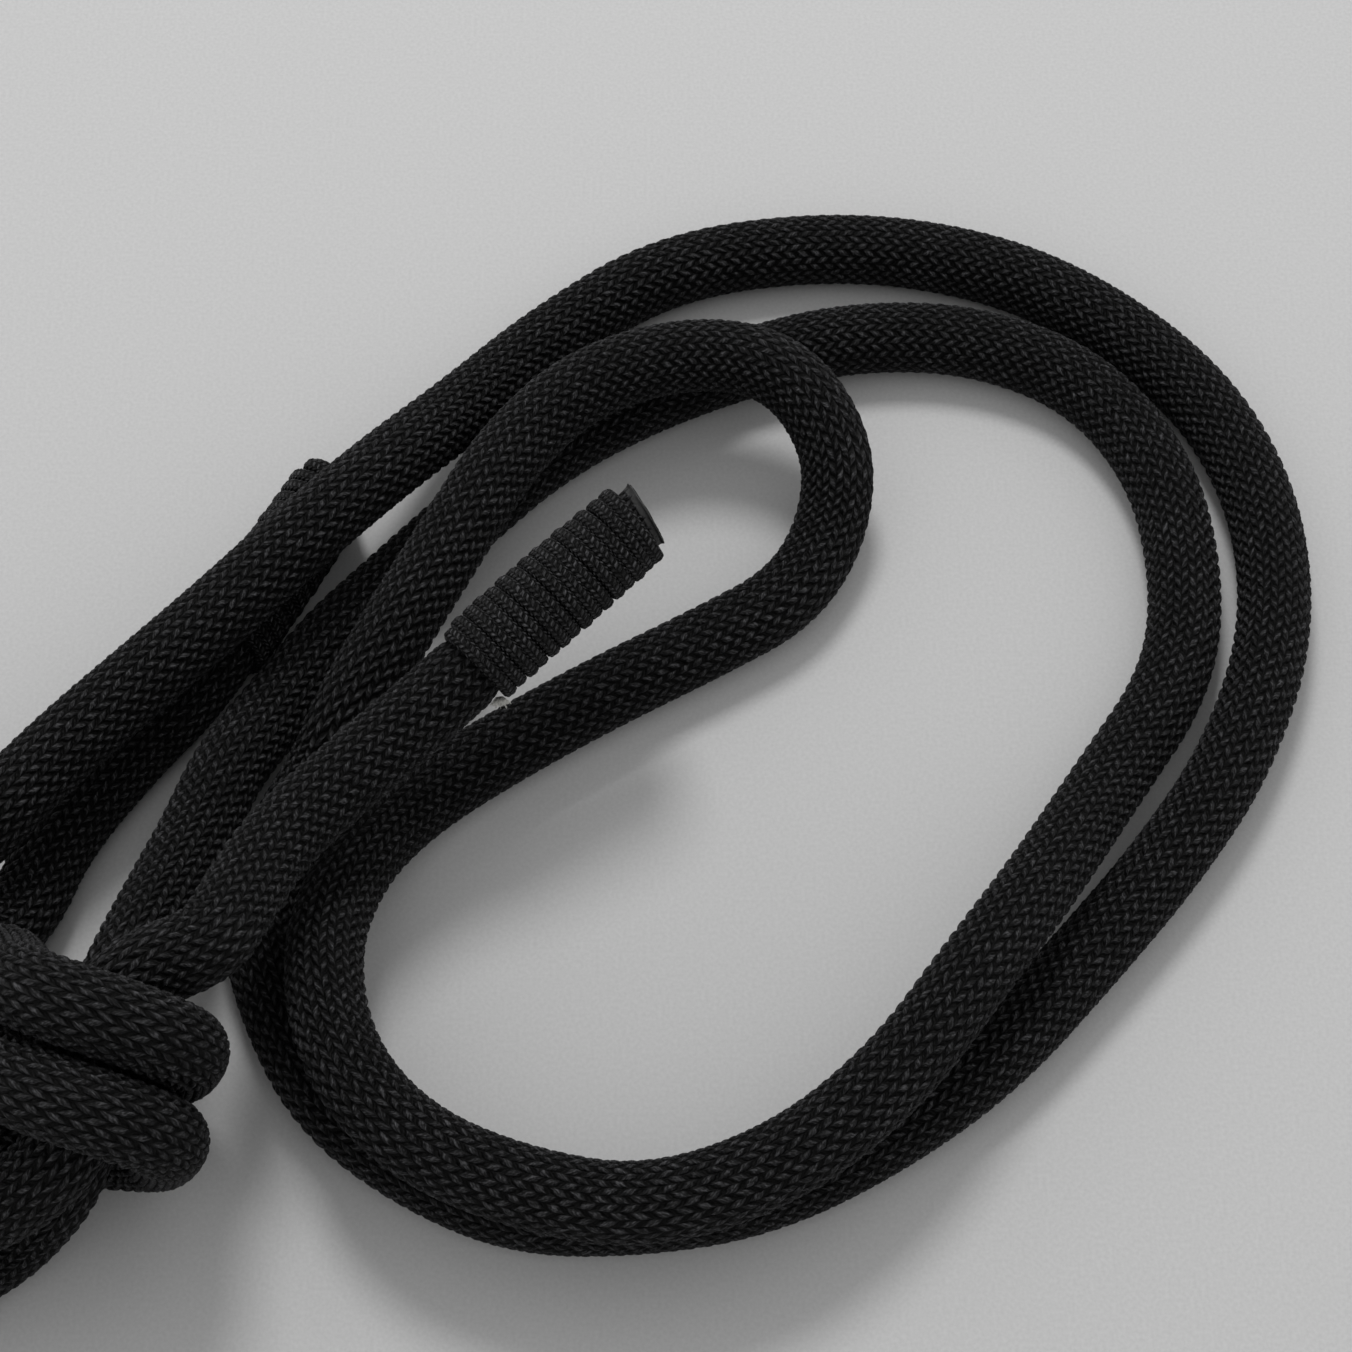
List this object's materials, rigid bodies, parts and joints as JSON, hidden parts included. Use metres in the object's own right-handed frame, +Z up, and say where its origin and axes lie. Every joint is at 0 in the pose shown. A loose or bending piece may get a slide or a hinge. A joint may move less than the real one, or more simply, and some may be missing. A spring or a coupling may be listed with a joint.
{
  "type": "dynamic climbing rope",
  "caption": "Black kernmantle climbing rope laid double in a flat loop, with a barrel knot at one end and whipped, sealed tails.",
  "frame": {"origin": "centre of the bounding box in plan, on the floor that the rope lies on", "axes": "+X to the right along the loop, away from the knot; +Y away from the viewer; +Z up"},
  "size_m": [0.2194, 0.1748, 0.0451],
  "materials": {
    "sheath": "matte braided nylon sheath, black",
    "core": "undyed twisted nylon strands",
    "thread": "fine braided black thread, slightly waxy",
    "melted_nylon": "melted and set black nylon"
  },
  "bodies": {
    "root": {"core_strand_1": "core", "core_strand_2": "core", "core_strand_3": "core", "core_strand_4": "core", "core_strand_5": "core", "core_strand_6": "core", "core_strand_middle": "core", "sealed_end_one": "melted_nylon", "sealed_end_two": "melted_nylon", "sheath_bottom_strand": "sheath", "sheath_inner_strand_left": "sheath", "sheath_inner_strand_right": "sheath", "sheath_knot_core_lower": "sheath", "sheath_knot_core_upper": "sheath", "sheath_knot_link": "sheath", "sheath_knot_wrap_lower": "sheath", "sheath_knot_wrap_upper": "sheath", "sheath_lower_strand": "sheath", "sheath_outer_strand_left": "sheath", "sheath_outer_strand_right": "sheath", "sheath_second_link": "sheath", "sheath_small_loop": "sheath", "sheath_tail_one": "sheath", "sheath_tail_two": "sheath", "sheath_third_strand": "sheath", "sheath_tip_one": "sheath", "sheath_tip_two": "sheath", "whipping_one": "thread", "whipping_two": "thread"}
  },
  "joints": []
}
